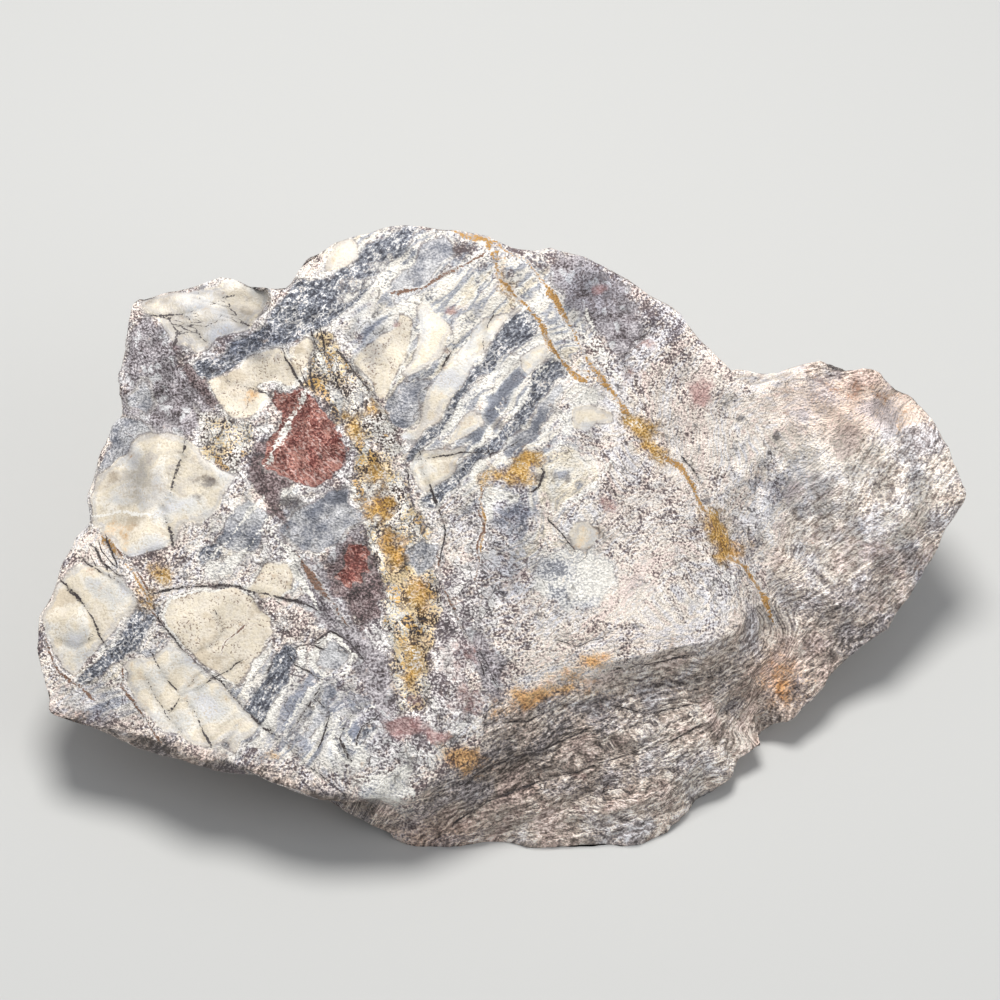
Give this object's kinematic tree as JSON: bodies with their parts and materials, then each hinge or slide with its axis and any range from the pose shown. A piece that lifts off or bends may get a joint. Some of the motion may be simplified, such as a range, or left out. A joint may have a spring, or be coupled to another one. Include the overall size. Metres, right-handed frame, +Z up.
{
  "type": "rough porcelain jasper stone",
  "caption": "Rough broken block of patterned jasper lying on a flat rest face, with one big sloping fracture face, an overhanging lip and a layered side lobe.",
  "frame": {"origin": "centre of the bounding box's base, on the rest face", "axes": "+X along the stone's length to the tip of the side lobe, +Y from the open front side to the steep back, +Z up from the surface that the stone lies on"},
  "size_m": [0.1623, 0.1038, 0.0594],
  "materials": {
    "jasper": "dry broken stone: cream porcelain patches, slate and mauve bands, red and ochre veins, no polish"
  },
  "bodies": {
    "root": {"jasper_stone": "jasper"}
  },
  "joints": []
}
